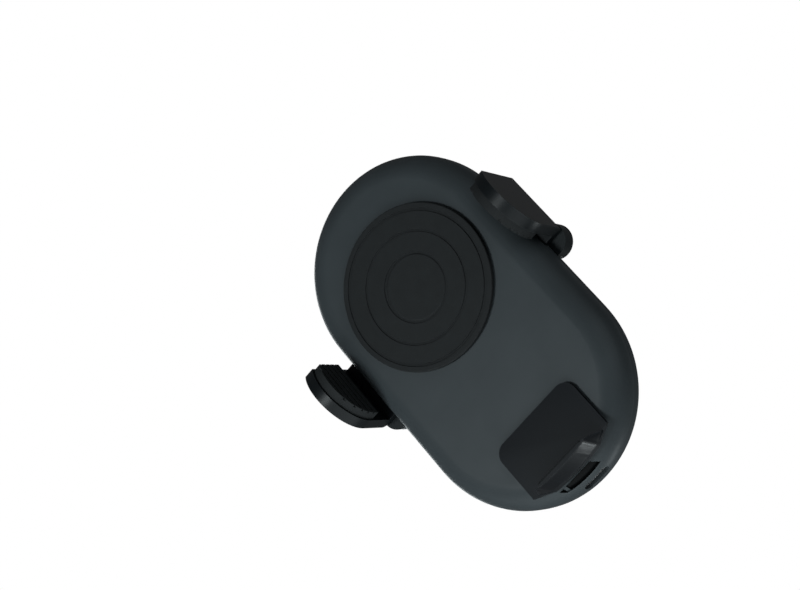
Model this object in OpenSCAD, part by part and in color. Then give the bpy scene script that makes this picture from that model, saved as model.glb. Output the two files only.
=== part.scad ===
// Wireless car charger mount: a pill shaped charging head with two sliding jaws and a foot,
// held by a ball joint on an air vent clip. Origin: middle of the clip's grip on the vent vane.
// Seen from the driver +X points right and +Z up, and -Y points at the driver.

/* [Head] */
// Half the width of the pill shaped head
head_r = 34.5; // [33:0.1:38]
// Distance between the centres of the head's two round ends
head_drop = 50.3; // [44:0.1:60]
// Height of the upper round end's centre above the ball joint
head_rise = 8; // [4:0.5:12]
// Rounding of the front edge, which is also the front cover's depth
front_round = 8; // [7.6:0.1:9]
// Depth of the rear cover behind the parting line
rear_depth = 10.5; // [10.3:0.1:12]
// Rounding of the rear edge
rear_round = 8.5; // [6:0.5:8.5]
// Wall of both covers
wall = 2; // [1.6:0.1:2.2]
// Thickness of the rubber charging pad that stands proud of the front
pad_proud = 1.6; // [1:0.1:2.4]
// Half the width of the charging pad
pad_r = 25; // [20:0.5:26]

/* [Jaws] */
// Distance of each held side outside the head's side edge as drawn
hold_out = 0.5; // [0:0.1:1]
// Radius of a jaw's round front edge
jaw_r = 12.4; // [11:0.1:13]
// Height of the jaw centre above the ball joint
jaw_z = -5.3; // [-7:0.1:-4]
// Distance of the jaw centre in front of the parting line
jaw_front = 10.9; // [9.5:0.1:13]
// Height of the flat top edge above the jaw centre
jaw_top = 8.9; // [8.5:0.1:9.3]
// Thickness of the moulded jaw
jaw_t = 3.4; // [3:0.1:4]
// Thickness of the rubber pad on the jaw
grip_t = 2.7; // [2.2:0.1:3]
// Thickness of the sliding arm
arm_t = 2; // [1.8:0.1:2.2]
// Closing travel of each jaw
jaw_close = 2; // [1:0.1:2.2]
// Opening travel of each jaw
jaw_open = 9; // [6:0.5:9]

/* [Drive] */
// Tooth module of pinion and racks
gear_m = 1; // [0.9:0.05:1.05]
// Number of pinion teeth
gear_teeth = 14; // [14:1:14]
// Backlash at the pitch line
gear_play = 0.16; // [0.1:0.02:0.24]
// Radius of the stud that the pinion turns on
stud_r = 2; // [1.8:0.1:2.2]
// Running clearance of turning pieces, on the radius
run_gap = 0.05; // [0.02:0.01:0.1]
// Clearance of sliding pieces
slide_gap = 0.15; // [0.1:0.01:0.2]

/* [Release buttons] */
// Radius of the round button
button_r = 5.2; // [4.6:0.1:5.4]
// Thickness of the button
button_t = 5.4; // [5:0.1:5.6]
// Travel of the button
button_push = 2; // [1.2:0.1:2.2]
// Travel of the latch bar
latch_drop = 1.5; // [1:0.1:1.6]

/* [Foot] */
// Height of the held device's lower end above the head's lower end
foot_rise = 7.3; // [6.7:0.1:8.2]
// Width of the foot's flat underside
foot_w = 17; // [14:0.5:18]
// Slope of the foot's slanted sides
foot_side_angle = 27; // [26:1:32]
// Reach of the foot in front of the parting line
foot_reach = 17.8; // [16:0.1:19]
// Thickness of the foot at its front edge
foot_t = 1.1; // [1:0.1:1.4]
// Thickness of the foot where it grows out of its base plate
foot_root_t = 3; // [2.4:0.1:3.2]
// Upward travel of the foot
foot_travel = 10; // [6:0.5:10]

/* [Ball joint] */
// Radius of the ball
ball_r = 7; // [6.6:0.1:7.2]
// Wall of the liner that grips the ball
liner_t = 1.95; // [1.8:0.05:2.1]
// Outer radius of the collar nut
nut_r = 13.6; // [13.2:0.1:15]
// Distance from the ball's centre to the head's back
ball_gap = 10.5; // [10.2:0.1:12]
// Distance from the ball's centre to the clip
stem_l = 14; // [13.5:0.5:18]
// Radius of the stem behind the ball
stem_r = 3.2; // [2.8:0.1:3.2]

/* [Vent clip] */
// Width of the clip block
block_w = 18; // [17:0.5:22]
// Height of the clip block
block_h = 20; // [19.6:0.2:24]
// Depth of the clip block
block_d = 11; // [11:0.5:14]
// Length of the prongs
prong_l = 18; // [14:1:24]
// Thickness of the prongs
prong_t = 2.6; // [2.2:0.1:3]
// Width of each prong
prong_w = 4.2; // [3.6:0.1:4.6]
// Gap between the prong pads
vane_gap = 2.4; // [1.6:0.1:3]
// Radius of the hinge pin
pin_r = 1.5; // [1.3:0.1:1.6]

/* [Hidden] */
$fn = 64;

// One overrun for every cut
over = 1;

// Places along Y: the parting line of the head, the ball and the clip block
ball_y = -(prong_l / 2 + block_d + stem_l);
seam_y = ball_y - ball_gap - rear_depth;

// Head shell
head_up = head_rise;
head_low = head_rise - head_drop;
head_end = head_low - head_r;
device_low = head_end + foot_rise;
fit_gap = 0.5;
carrier_gap = 0.1;
carrier_t = 1.5;
carrier_z = carrier_gap;
carrier_top = carrier_z + carrier_t;
ferrite_t = 0.8;
ferrite_r = 24;
coil_t = 2;
coil_in = 10;
coil_out = 22;
coil_turns = 8;
coil_groove = 0.5;

// Posts and screws that hold the covers together
post_in = 15.7;
post_rise = 18;
post_fall = 20;
post_x = head_r - post_in;
post_up = head_up + post_rise;
post_low = head_low - post_fall;
post_r = 3;
pilot_r = 1.25;
shank_gap = 0.2;
screw_head_r = 2.6;
screw_head_t = 1.8;
screw_sink = 3;
screw_bite = 5;
cross_w = 0.9;
cross_l = 3.2;
cross_d = 0.9;

// Circuit board and socket
usb_w = 8.9;
usb_h = 3.2;
usb_l = 7.4;
usb_wall = 0.35;
usb_tongue_w = 6.6;
usb_tongue_t = 0.7;
usb_sink = 1.2;
usb_z = 1.2;
board_gap = 0.1;
usb_hole_gap = 0.25;
board_w = 28;
board_l = 41;
usb_back = head_end + usb_sink + usb_l;
board_low = usb_back + board_gap;
board_top = board_low + board_l;
board_t = 1.2;
chip_w = 7;
chip_t = 0.9;
choke_r = 3.2;
choke_t = 1.8;
choke_x = 9.3;

// Light window in the lower edge: a crescent with slanted ends and one sunk rib
window_edge = 1.6;
window_h = 2.45;
window_out = head_r - window_edge;
window_chord = window_out - window_h;
window_left = -9.65;
window_right = 3.2;
window_low = usb_z + usb_h / 2 + 2 * usb_hole_gap;
window_rib_x = -7.55;
window_rib_w = 1.1;
window_rib_sink = 0.5;
window_gap = 0.1;
window_sink = 0.9;
window_t = 2;

// Drive
pitch_r = gear_m * gear_teeth / 2;
tooth_a_share = 0.62;
tooth_d_share = 0.8;
press_angle = 25;
tooth_a = gear_m * tooth_a_share;
tooth_d = gear_m * tooth_d_share;
base_r = pitch_r * cos(press_angle);
pitch = PI * gear_m;
drive_z = jaw_z + (jaw_top - jaw_r) / 2;
arm_half = (jaw_top + jaw_r) / 2;
arm_top = -slide_gap;
arm_low = arm_top - arm_t;
rack_hold = 4;
rack_tip = jaw_open + rack_hold;
rack_root = jaw_close + rack_hold + gear_m;
plate_in = rack_tip + 2 * jaw_close + 4 * slide_gap;
gear_t = arm_t - slide_gap;
gear_top = arm_top - slide_gap / 2;
gear_low = gear_top - gear_t;
ratchet_r = 6;
ratchet_root = 5.3;
ratchet_t = 2;
ratchet_teeth = 24;
ratchet_low = gear_low - ratchet_t;
hub_r = 3.2;
hub_low = -7.2;
axle_head_r = 3.1;
axle_head_t = 0.9;
axle_r = 1;
axle_bite = 5;
coil_spring_t = 0.5;
coil_spring_turns = 3;
coil_spring_steps = 24;
coil_spring_out = 8.4;
coil_spring_top = ratchet_low - 2 * slide_gap;
coil_spring_low = hub_low + slide_gap;

// Jaws
grip_gap = 0.1;
grip_face = head_r + hold_out + grip_gap;
jaw_in = grip_face + grip_t;
jaw_out = jaw_in + jaw_t;
bend_r = 2.5;
grip_inset = 0.7;
grip_back = 8.8;
grip_rib = 0.6;
grip_ribs = 5;

// Release buttons and latch bar
button_out = 1.1;
button_fall = 9.75;
button_sink = 0.6;
button_x = head_r + button_out;
button_z = drive_z - button_fall;
button_top = arm_low - button_sink;
button_low = button_top - button_t;
button_gap = 0.25;
well_l = 6.7;
hole_in = head_r - well_l;
flange_t = 1.8;
flange_h = 13.6;
flange_w = 2.8;
flange_mid = (button_low + button_top) / 2;
flange_back = rear_depth + flange_mid - flange_w / 2;
flange_in = rear_round - sqrt(pow(rear_round - wall, 2) - pow(rear_round - flange_back, 2));
flange_out = head_r - flange_in - slide_gap;
rod_r = 1;
rod_drop = 0.15;
rod_y = flange_mid - rod_drop;
rod_gap = 0.2;
rib_inset = 14;
rib_in = head_r - rib_inset;
tie_w = 3.6;
tie_h = 4;
tie_t = 1.8;
link_in = 7.6;
link_x = rib_in - link_in;
rod_in = link_x - tie_w / 2;
link_r = 0.9;
spring_r = 2;
spring_wire = 0.6;
rib_t = 1.8;
rib_h = 8;
bar_rim = 3;
bar_w = 2 * (link_x + bar_rim);
bar_fall = 5.4;
bar_low = button_z - bar_fall;
bar_top = gear_low - 2 * slide_gap;
bar_t = 1.7;
pawl_w = 2.2;
pawl_h = 0.7;
pawl_gap = 0.3;
rail_t = 1.3;
rail_inset = 5.7;
rail_l = 11.5;
rail_out = head_r - rail_inset;
rail_in = rail_out - rail_l;
ledge_w = 3;
bar_post = 3;
bar_post_x = 7;

// Foot
foot_pad_t = 0.7;
foot_pad_inset = 0.8;
foot_arc_r = 70;
foot_round = 4;
foot_steps = 6;
foot_base_t = 1.3;
foot_base_w = 31;
foot_base_arc_r = 36;
foot_base_round = 4;
foot_base_lap = 5.2;
foot_leg_w = 7.6;
foot_leg_h = 6;
foot_base_h = foot_leg_h + foot_travel + foot_base_lap;
foot_rail_w = 13;
foot_rail_h = 12;
foot_rail_t = 1.4;
foot_gap = 0.3;
foot_screw_x = 2;
foot_screw_r = 0.7;
foot_screw_head_r = 1.5;
foot_screw_head_t = 0.7;
foot_under = device_low - foot_pad_t;
foot_low = foot_under - foot_root_t;
foot_leg_low = device_low + foot_gap;
foot_back = front_round + slide_gap;
foot_tilt = atan2(foot_root_t - foot_t, foot_reach - foot_back);
foot_rail_top = front_round - wall - slide_gap;
foot_rail_low = foot_rail_top - foot_rail_t;

// Ball joint
joint_gap = 0.05;
liner_in = ball_r + joint_gap;
liner_out = liner_in + liner_t;
liner_half = 4.2;
liner_slit = 1.2;
seat_r = liner_out + joint_gap;
spigot_r = 11.2;
spigot_bore = 9.4;
spigot_l = 8;
nut_in = spigot_r + run_gap;
nut_gap = 0.6;
nut_front = ball_gap - nut_gap;
nut_step = 2.3;
nut_back = 6.6;
nut_back_r = 10.5;
nut_mouth = 7.2;
nut_taper = 3;
nut_grips = 12;
nut_grip_r = 1.1;

// Vent clip
plug_l = 6;
pad_t = 0.8;
pad_l = 12;
prong_x = 5;
prong_tip = 1.2;
ear_t = 2.6;
ear_gap = 0.2;
pin_y = -(prong_l / 2 + block_d / 2);
pin_z = 6.6;
pin_gap = 0.03;
lever_r = 2.8;
lever_gap = 0.4;
lever_web = 2.6;
thumb_h = 9.4;
thumb_t = 3;
clip_coil_r = 2.5;
clip_coil_l = 3.6;
clip_coil_room = 2;
prong_z = vane_gap / 2 + pad_t;
block_back = -prong_l / 2;
block_front = block_back - block_d;

// Moves into the head's own frame: x right, y up, z forwards from the parting line
module head_space() {
    translate([0, seam_y, 0]) rotate([90, 0, 0]) children();
}

module ball_space() {
    translate([0, ball_y, 0]) rotate([90, 0, 0]) children();
}

module box(low, high) {
    translate(low) cube(high - low);
}

module disc(r, z0, z1) {
    translate([0, 0, z0]) cylinder(r = r, h = z1 - z0);
}

// A pill outline that sits in the head: its two end centres are shared by all pieces
module pill(r, z0, z1) {
    translate([0, head_up, z0]) cylinder(r = r, h = z1 - z0);
    translate([0, head_low, z0]) cylinder(r = r, h = z1 - z0);
    translate([-r, head_low, z0]) cube([2 * r, head_drop, z1 - z0]);
}

// Turns a half outline round both ends of the pill and draws it along the sides
module pill_turned() {
    translate([0, head_up, 0]) rotate_extrude(angle = 180) children();
    translate([0, head_low, 0]) rotate([0, 0, 180]) rotate_extrude(angle = 180) children();
    translate([0, head_up, 0]) rotate([90, 0, 0]) linear_extrude(head_drop) {
        children();
        mirror([1, 0]) children();
    }
}

module half_dome(r, round, depth) {
    square([r - round, depth]);
    if (depth > round) square([r, depth - round]);
    intersection() {
        translate([r - round, depth - round]) circle(r = round);
        translate([r - round, depth - round]) square(round);
    }
}

module cross_cut(z) {
    box([-cross_l / 2, -cross_w / 2, z], [cross_l / 2, cross_w / 2, z + cross_d + over]);
    box([-cross_w / 2, -cross_l / 2, z], [cross_w / 2, cross_l / 2, z + cross_d + over]);
}

module at_posts() {
    for (x = [-post_x, post_x], y = [post_up, post_low]) translate([x, y, 0]) children();
}

module usb_outline(grow) {
    r = usb_h / 2 + grow;
    square([usb_w + 2 * grow - 2 * r, 2 * r], center = true);
    for (s = [-1, 1]) translate([s * (usb_w / 2 + grow - r), 0]) circle(r = r);
}

module usb_tunnel(grow, y0, y1) {
    translate([0, y1, usb_z]) rotate([90, 0, 0]) linear_extrude(y1 - y0) usb_outline(grow);
}

module button_shape(r, z0, z1, push) {
    translate([button_x, button_z, z0]) cylinder(r = r, h = z1 - z0);
    translate([button_x - push, button_z, z0]) cylinder(r = r, h = z1 - z0);
    box([button_x - push, button_z - r, z0], [button_x, button_z + r, z1]);
}

// The crescent between a chord and an arc round the lower end's centre
module window_shape(grow) {
    intersection() {
        circle(r = window_out + grow);
        translate([0, -window_chord]) polygon([[window_left - grow, grow],
            [window_right + grow, grow], [window_right + grow + head_r, -head_r],
            [window_left - grow + head_r, -head_r]]);
    }
}

module window_prism() {
    translate([0, head_low, window_low]) linear_extrude(front_round) children();
}

module window_cut(grow) {
    window_prism() difference() {
        window_shape(grow);
        translate([window_rib_x - window_rib_w / 2 + grow, -head_r])
            square([window_rib_w - 2 * grow, head_r]);
    }
}

module front_cover() {
    color("#2b2f31") head_space() difference() {
        union() {
            difference() {
                pill_turned() half_dome(head_r, front_round, front_round);
                translate([0, 0, -over]) pill(head_r - wall, 0, over + over / 2);
                pill_turned() half_dome(head_r - wall, front_round - wall, front_round - wall);
            }
            at_posts() disc(post_r, 0, front_round - wall + over / 2);
        }
        at_posts() disc(pilot_r, -over, screw_bite);
        usb_tunnel(usb_hole_gap, head_end - over, head_end + 2 * wall);
        box([-foot_leg_w / 2 - slide_gap, foot_leg_low - foot_gap, front_round - wall - over],
            [foot_leg_w / 2 + slide_gap, foot_leg_low + foot_leg_h + foot_travel + foot_gap,
            front_round + over]);
        window_cut(0);
        difference() {
            window_prism() window_shape(0);
            pill_turned() half_dome(head_r - window_rib_sink, front_round - window_rib_sink,
                front_round - window_rib_sink);
        }
    }
}

module rear_cover() {
    color("#26292b") head_space() difference() {
        union() {
            difference() {
                mirror([0, 0, 1]) pill_turned() half_dome(head_r, rear_round, rear_depth);
                mirror([0, 0, 1]) pill_turned()
                    half_dome(head_r - wall, rear_round - wall, rear_depth - wall);
                pill(head_r - wall, -over / 2, over);
            }
            at_posts() disc(post_r, -rear_depth + wall / 2, 0);
            disc(spigot_r, -rear_depth - spigot_l, -rear_depth + wall / 2);
            for (s = [0, 1]) mirror([s, 0, 0]) {
                box([rail_in, drive_z + arm_half + slide_gap, -rear_depth + wall / 2],
                    [rail_out, drive_z + arm_half + slide_gap + rail_t, arm_top]);
                box([rail_in, drive_z + arm_half - ledge_w, -rear_depth + wall / 2],
                    [rail_out, drive_z + arm_half + slide_gap + rail_t, arm_low - slide_gap]);
                box([rail_in, drive_z - arm_half - slide_gap - rail_t, -rear_depth + wall / 2],
                    [rib_in + rib_t, drive_z - arm_half - slide_gap, arm_top]);
                box([rib_in, button_z - rib_h / 2, -rear_depth + wall / 2],
                    [rib_in + rib_t, button_z + rib_h / 2, arm_low - 2 * slide_gap]);
                box([bar_post_x - bar_post / 2, bar_low + bar_post / 2, -rear_depth + wall / 2],
                    [bar_post_x + bar_post / 2, bar_low + 3 * bar_post / 2,
                    bar_top - bar_t - slide_gap]);
            }
            box([coil_spring_out + slide_gap, drive_z - bar_post / 2, -rear_depth + wall / 2],
                [coil_spring_out + bar_post, drive_z + bar_post / 2, coil_spring_top]);
        }
        disc(spigot_bore, -rear_depth - spigot_l - over, -rear_depth);
        at_posts() disc(pilot_r + shank_gap, -rear_depth - over, over);
        at_posts() disc(screw_head_r + shank_gap, -rear_depth - over, -rear_depth + screw_sink);
        usb_tunnel(usb_hole_gap, head_end - over, head_end + 2 * wall);
        for (s = [0, 1]) mirror([s, 0, 0]) {
            box([head_r - 2 * wall, drive_z - arm_half - slide_gap, arm_low - slide_gap],
                [head_r + over, drive_z + arm_half + slide_gap, over]);
            difference() {
                button_shape(button_r + button_gap, button_low - button_gap,
                    button_top + button_gap, button_push + over);
                box([0, button_z - 2 * button_r, -2 * rear_depth],
                    [hole_in, button_z + 2 * button_r, over]);
            }
            translate([0, button_z, rod_y]) rotate([0, 90, 0])
                cylinder(r = rod_r + rod_gap, h = rib_in + rib_t + over);
        }
    }
}

module charging_pad() {
    color("#1b1d1e") head_space() {
        disc(pad_r, front_round, front_round + pad_proud);
    }
}

module coil_carrier() {
    color("#3a3d3f") head_space() difference() {
        union() {
            difference() {
                pill(head_r - wall - fit_gap, carrier_z, carrier_top);
                at_posts() disc(post_r + fit_gap, -over, carrier_top + over);
                box([-usb_w / 2 - fit_gap, head_end, -over],
                    [usb_w / 2 + fit_gap, usb_back + fit_gap, carrier_top + over]);
            }
            translate([0, drive_z, 0]) disc(stud_r, hub_low, carrier_top - ferrite_t / 2);
        }
        translate([0, drive_z, 0]) disc(axle_r, hub_low - over, hub_low + axle_bite);
        disc(ferrite_r + run_gap, carrier_top - ferrite_t / 2, carrier_top + over);
    }
}

module ferrite_sheet() {
    color("#4a4643") head_space()
        disc(ferrite_r, carrier_top - ferrite_t / 2, carrier_top + ferrite_t / 2);
}

module charging_coil() {
    low = carrier_top + ferrite_t / 2;
    lane = (coil_out - coil_in) / coil_turns;
    color("#b06a35") head_space() difference() {
        disc(coil_out, low, low + coil_t);
        disc(coil_in, low - over, low + coil_t + over);
        for (i = [1 : coil_turns - 1]) difference() {
            disc(coil_in + i * lane + coil_groove / 2, low + coil_t - coil_groove,
                low + coil_t + over);
            disc(coil_in + i * lane - coil_groove / 2, low, low + coil_t + 2 * over);
        }
    }
}

module circuit_board() {
    low = carrier_top + board_gap;
    top = low + board_t;
    color("#1f5a3a") head_space() {
        box([-board_w / 2, board_low, low], [board_w / 2, board_top, top]);
        for (x = [-chip_w, chip_w / 2]) box([x, board_top - 2 * chip_w, top - board_gap],
            [x + chip_w, board_top - chip_w, top + chip_t]);
        translate([-choke_x, board_top - chip_w, 0])
            disc(choke_r, top - board_gap, top + choke_t);
    }
}

module usb_socket() {
    front = head_end + usb_sink;
    color("silver") head_space() {
        difference() {
            usb_tunnel(0, front, front + usb_l);
            usb_tunnel(-usb_wall, front - over, front + usb_l - usb_wall);
        }
        box([-usb_tongue_w / 2, front + usb_wall, usb_z - usb_tongue_t / 2],
            [usb_tongue_w / 2, usb_back - usb_wall / 2, usb_z + usb_tongue_t / 2]);
    }
}

module light_window() {
    face_r = head_r - window_sink;
    face_round = front_round - window_sink;
    $fn = 128;
    color("#101214") head_space() intersection() {
        difference() {
            pill_turned() half_dome(face_r, face_round, face_round);
            pill_turned() half_dome(face_r - window_t, face_round - window_t, face_round - window_t);
        }
        translate([0, 0, window_gap]) window_cut(-window_gap);
    }
}

module cover_screws() {
    head_low_z = -rear_depth + screw_sink - screw_head_t;
    color("#8d9196") head_space() at_posts() difference() {
        union() {
            disc(screw_head_r, head_low_z, head_low_z + screw_head_t);
            disc(pilot_r, head_low_z, screw_bite - shank_gap);
        }
        mirror([0, 0, 1]) cross_cut(-head_low_z - cross_d);
    }
}

module axle_screw() {
    low = hub_low - run_gap - axle_head_t;
    color("#8d9196") head_space() translate([0, drive_z, 0]) difference() {
        union() {
            disc(axle_head_r, low, low + axle_head_t);
            disc(axle_r, low, hub_low + axle_bite - shank_gap);
        }
        mirror([0, 0, 1]) translate([0, 0, -low - cross_d / 2])
            box([-cross_l / 2, -cross_w / 2, 0], [cross_l / 2, cross_w / 2, over]);
    }
}

// Flat spiral spring that opens the jaws when the latch lets go
module opening_spring() {
    steps = coil_spring_steps * coil_spring_turns;
    turn = 360 / coil_spring_steps;
    start = hub_r + slide_gap;
    grow = (coil_spring_out - start - coil_spring_t) / steps;
    function spiral(i, r) = (r + i * grow) * [cos(i * turn), sin(i * turn)];
    color("#9aa0a6") head_space() translate([0, drive_z, coil_spring_low])
        linear_extrude(coil_spring_top - coil_spring_low)
        polygon(concat([for (i = [0 : steps]) spiral(i, start)],
            [for (i = [steps : -1 : 0]) spiral(i, start + coil_spring_t)]));
}

function inv(a) = tan(a) * 180 / PI - a;
function flank(r) = r < base_r ? inv(press_angle) : inv(press_angle) - inv(acos(base_r / r));
function half_tooth() = 90 / gear_teeth - gear_play / 2 / pitch_r * 180 / PI / 2;

// Involute pinion with a ratchet wheel behind it
module pinion_gear() {
    tip = pitch_r + tooth_a;
    root = pitch_r - tooth_d;
    radii = [root, base_r, (base_r + pitch_r) / 2, pitch_r, (pitch_r + tip) / 2, tip];
    n = len(radii);
    tooth = concat([for (i = [0 : n - 1]) [radii[i], -half_tooth() - flank(radii[i])]],
        [for (i = [n - 1 : -1 : 0]) [radii[i], half_tooth() + flank(radii[i])]]);
    points = [for (k = [0 : gear_teeth - 1], p = tooth)
        p[0] * [cos(90 + p[1] + k * 360 / gear_teeth), sin(90 + p[1] + k * 360 / gear_teeth)]];
    step = 360 / ratchet_teeth;
    color("#d8d8d2") head_space() translate([0, drive_z, 0]) difference() {
        union() {
            translate([0, 0, gear_low]) linear_extrude(gear_t) polygon(points);
            disc(ratchet_root, ratchet_low, gear_low);
            translate([0, 0, ratchet_low]) linear_extrude(ratchet_t) polygon([
                for (k = [0 : ratchet_teeth - 1], e = [0, 1])
                (e == 0 ? ratchet_root : ratchet_r) * [cos(k * step), sin(k * step)]]);
            disc(hub_r, hub_low, ratchet_low);
        }
        disc(stud_r + run_gap, hub_low - over, over);
    }
}

// The outline of a jaw in the plane of z and y: a round front with a flat top, run back to the arm
module jaw_outline(inset) {
    intersection() {
        union() {
            circle(r = jaw_r - inset);
            translate([-jaw_front, -jaw_r + inset]) square([jaw_front, 2 * (jaw_r - inset)]);
        }
        translate([-jaw_front, -jaw_r + inset])
            square([jaw_front + jaw_r, jaw_top + jaw_r - 2 * inset]);
    }
}

module jaw_plate(x0, x1, inset) {
    translate([x0, jaw_z, jaw_front]) rotate([90, 0, 90]) linear_extrude(x1 - x0)
        rotate([0, 0, 90]) mirror([0, 1]) jaw_outline(inset);
}

// Straight rack with a gap between teeth at x = 0, its bar on the lower side
module rack() {
    half = pitch / 4 - gear_play / 4;
    lean = tan(press_angle);
    first = ceil((half + tooth_d * lean - rack_tip) / pitch + 1 / 2);
    last = floor(rack_root / pitch) + 1;
    for (k = [first : last]) translate([(k - 1 / 2) * pitch, 0]) polygon([
        [-half - tooth_d * lean, -tooth_d], [-half + tooth_a * lean, tooth_a],
        [half - tooth_a * lean, tooth_a], [half + tooth_d * lean, -tooth_d]]);
    translate([-rack_tip, pitch_r - arm_half])
        square([rack_tip + plate_in + over, arm_half - pitch_r - tooth_d]);
}

module arm_shell() {
    low = jaw_z - jaw_r;
    high = jaw_z + jaw_top;
    difference() {
        union() {
            jaw_plate(jaw_in, jaw_out, 0);
            box([jaw_in, low, arm_low], [jaw_out, high, over]);
            box([plate_in, low, arm_low], [jaw_out, high, arm_top]);
        }
        difference() {
            box([jaw_out - bend_r, low - over, arm_low - over],
                [jaw_out + over, high + over, arm_low + bend_r]);
            translate([jaw_out - bend_r, low - 2 * over, arm_low + bend_r])
                rotate([-90, 0, 0]) cylinder(r = bend_r, h = high - low + 4 * over);
        }
    }
}

module grip() {
    rib_step = (jaw_r + jaw_front - grip_back) / (grip_ribs + 1);
    difference() {
        jaw_plate(grip_face, jaw_in, grip_inset);
        box([0, jaw_z - 2 * jaw_r, -over], [jaw_out, jaw_z + 2 * jaw_r, grip_back]);
        for (i = [1 : grip_ribs]) box([0, jaw_z - 2 * jaw_r,
            grip_back + i * rib_step - grip_rib / 2],
            [grip_face + grip_rib, jaw_z + 2 * jaw_r, grip_back + i * rib_step + grip_rib / 2]);
    }
}

module right_arm() {
    color("#2b2f31") head_space() {
        arm_shell();
        translate([0, drive_z - pitch_r, arm_low]) linear_extrude(arm_t) rack();
    }
}

module right_jaw_pad() {
    color("#141617") head_space() grip();
}

// The left arm mirrors the right one, but its rack runs over the pinion and not under it
module left_arm() {
    color("#2b2f31") head_space() {
        mirror([1, 0, 0]) arm_shell();
        translate([0, drive_z + pitch_r, arm_low]) rotate([0, 0, 180])
            linear_extrude(arm_t) rack();
    }
}

module left_jaw_pad() {
    color("#141617") head_space() mirror([1, 0, 0]) grip();
}

module button() {
    translate([button_x, button_z, button_low]) cylinder(r = button_r, h = button_t);
    box([flange_out - flange_t, button_z - tie_h, flange_mid - flange_w / 2],
        [button_x, button_z + tie_h, flange_mid + flange_w / 2]);
    box([flange_out - flange_t, button_z - flange_h / 2, flange_mid - flange_w / 2],
        [flange_out, button_z + flange_h / 2, flange_mid + flange_w / 2]);
    translate([rod_in + over, button_z, rod_y]) rotate([0, 90, 0])
        cylinder(r = rod_r, h = flange_out - flange_t - rod_in);
    box([rod_in, button_z - tie_h / 2, rod_y - tie_t / 2],
        [rod_in + tie_w, button_z + tie_h / 2, rod_y + tie_t / 2]);
    translate([link_x, button_z, rod_y]) cylinder(r = link_r, h = bar_top - slide_gap - rod_y);
}

module button_spring() {
    length = flange_out - flange_t - rib_in - rib_t - 2 * run_gap;
    translate([rib_in + rib_t + run_gap, button_z, rod_y]) rotate([0, 90, 0]) difference() {
        cylinder(r = spring_r, h = length);
        translate([0, 0, -over]) cylinder(r = spring_r - spring_wire, h = length + 2 * over);
    }
}

module right_button() {
    color("#2b2f31") head_space() button();
}

module right_button_spring() {
    color("#9aa0a6") head_space() button_spring();
}

module left_button() {
    color("#2b2f31") head_space() mirror([1, 0, 0]) button();
}

module left_button_spring() {
    color("#9aa0a6") head_space() mirror([1, 0, 0]) button_spring();
}

// The bar's slanted slots turn the buttons' push into a downward pull on the pawl
module latch_bar() {
    top = drive_z - ratchet_r - pawl_gap;
    dip = top - pawl_h;
    lobe = ratchet_r + pawl_w;
    slot_r = link_r + slide_gap;
    slot_l = sqrt(pow(button_push, 2) + pow(latch_drop, 2));
    slot_a = atan2(latch_drop, -button_push);
    color("#c9c9c3") head_space() translate([0, 0, bar_top - bar_t]) linear_extrude(bar_t)
        difference() {
            polygon([[-bar_w / 2, bar_low], [bar_w / 2, bar_low], [bar_w / 2, top], [lobe, top],
                [lobe, dip], [pawl_w / 2, dip], [0, top], [-pawl_w / 2, dip], [-lobe, dip],
                [-lobe, top], [-bar_w / 2, top]]);
            for (s = [0, 1]) mirror([s, 0]) translate([link_x, button_z]) {
                circle(r = slot_r);
                translate([-button_push, latch_drop]) circle(r = slot_r);
                rotate(slot_a) translate([0, -slot_r]) square([slot_l, 2 * slot_r]);
            }
        }
}

// Half of the foot's cross section above its lowest point: a shallow arc, a round corner and a
// straight slanted side up to the given height
function foot_half(top) =
    let (turn = asin(foot_w / 2 / foot_arc_r),
        inner = foot_arc_r - foot_round,
        corner = [inner * sin(turn), foot_arc_r - inner * cos(turn)],
        step = (foot_side_angle - turn) / foot_steps,
        arc = [for (i = [0 : foot_steps]) let (a = turn * i / foot_steps)
            foot_arc_r * [sin(a), 1 - cos(a)]],
        bend = [for (i = [1 : foot_steps]) let (a = turn + step * i)
            corner + foot_round * [sin(a), -cos(a)]],
        end = bend[foot_steps - 1])
    concat(arc, bend, [[end[0] + (top - end[1]) / tan(foot_side_angle), top]]);

// The ledge thins out forwards because its underside rises
module foot_ledge() {
    half = foot_half(2 * foot_root_t);
    reach = foot_reach - foot_back;
    intersection() {
        translate([0, foot_low, foot_back]) rotate([-foot_tilt, 0, 0])
            translate([0, 0, -reach]) linear_extrude(3 * reach)
            polygon(concat(half, [for (i = [len(half) - 1 : -1 : 1]) [-half[i][0], half[i][1]]]));
        box([-foot_base_w / 2, foot_low - over, foot_back],
            [foot_base_w / 2, foot_under, foot_reach]);
    }
}

module foot_base() {
    side = foot_base_w / 2;
    translate([0, foot_low, foot_back]) linear_extrude(foot_base_t) intersection() {
        translate([0, foot_base_arc_r]) circle(r = foot_base_arc_r);
        union() {
            translate([-side, 0]) square([foot_base_w, foot_base_h - foot_base_round]);
            translate([foot_base_round - side, 0])
                square([foot_base_w - 2 * foot_base_round, foot_base_h]);
            for (s = [-1, 1]) translate([s * (side - foot_base_round), foot_base_h - foot_base_round])
                circle(r = foot_base_round);
        }
    }
}

module foot_bracket() {
    color("#25292f") head_space() difference() {
        union() {
            foot_ledge();
            foot_base();
            box([-foot_leg_w / 2, foot_leg_low, foot_rail_top],
                [foot_leg_w / 2, foot_leg_low + foot_leg_h, foot_back + foot_base_t / 2]);
        }
        for (x = [-foot_screw_x, foot_screw_x]) translate([x, foot_leg_low + foot_leg_h / 2, 0])
            disc(foot_screw_r, 0, foot_back + foot_base_t / 2);
    }
}

module foot_pad() {
    color("#16181a") head_space()
        box([-foot_w / 2, foot_under, foot_back + foot_base_t + foot_gap],
            [foot_w / 2, foot_under + foot_pad_t, foot_reach - foot_pad_inset]);
}

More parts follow.
